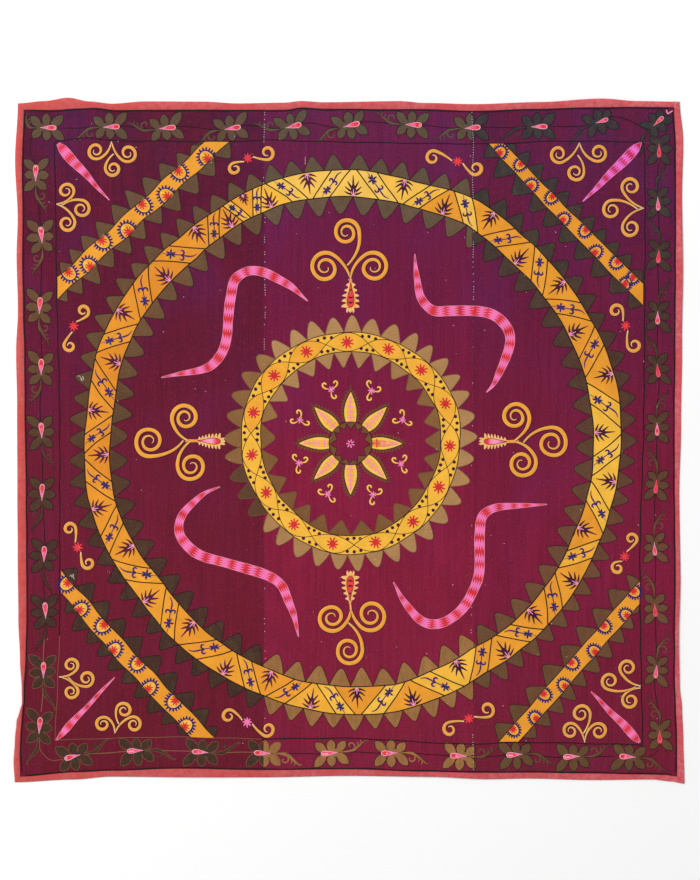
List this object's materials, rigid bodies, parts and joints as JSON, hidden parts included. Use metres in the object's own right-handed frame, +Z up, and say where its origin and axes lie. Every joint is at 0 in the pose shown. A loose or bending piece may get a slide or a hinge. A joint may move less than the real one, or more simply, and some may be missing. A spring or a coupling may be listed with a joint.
{
  "type": "embroidered suzani textile",
  "caption": "Large embroidered suzani of three sewn cotton widths with a folded coral binding, lying flat, face up.",
  "frame": {"origin": "middle of the cloth's footprint, level with the surface that it lies on", "axes": "+X across the cloth to the right edge, +Y towards its top edge, +Z up out of its face"},
  "size_m": [2.079, 2.1237, 0.0076],
  "materials": {
    "ground_cotton": "matt woven cotton, maroon to plum",
    "binding_cotton": "matt coral cotton with slight streaks"
  },
  "bodies": {
    "root": {"panel_left": "ground_cotton", "panel_centre": "ground_cotton", "panel_right": "ground_cotton", "binding_top": "binding_cotton", "binding_right": "binding_cotton", "binding_bottom": "binding_cotton", "binding_left": "binding_cotton"}
  },
  "joints": []
}
